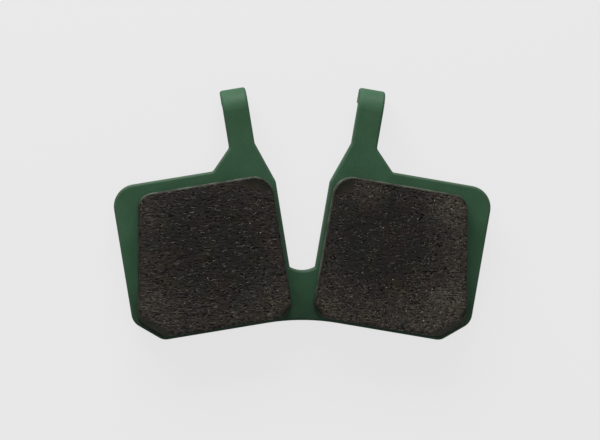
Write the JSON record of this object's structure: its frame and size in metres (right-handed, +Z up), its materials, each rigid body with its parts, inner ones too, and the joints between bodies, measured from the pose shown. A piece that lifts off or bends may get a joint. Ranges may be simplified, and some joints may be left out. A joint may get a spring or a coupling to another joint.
{
  "type": "bicycle disc brake pad",
  "caption": "Stamped steel backing plate with hooked arms and a central pin slot, carrying bonded friction blocks that clamp a bicycle's brake rotor in a multi-piston caliper.",
  "frame": {"origin": "middle of the pad's footprint, on the table that it lies on", "axes": "+X across the pad to the right, +Y towards the hooked arms, +Z up from the table; the friction side is up"},
  "size_m": [0.0438, 0.0296, 0.0058],
  "materials": {
    "green_coated_steel": "satin",
    "friction_compound": "ground matte"
  },
  "bodies": {
    "root": {"backing_plate": "green_coated_steel", "left_friction_block": "friction_compound", "right_friction_block": "friction_compound"}
  },
  "joints": []
}
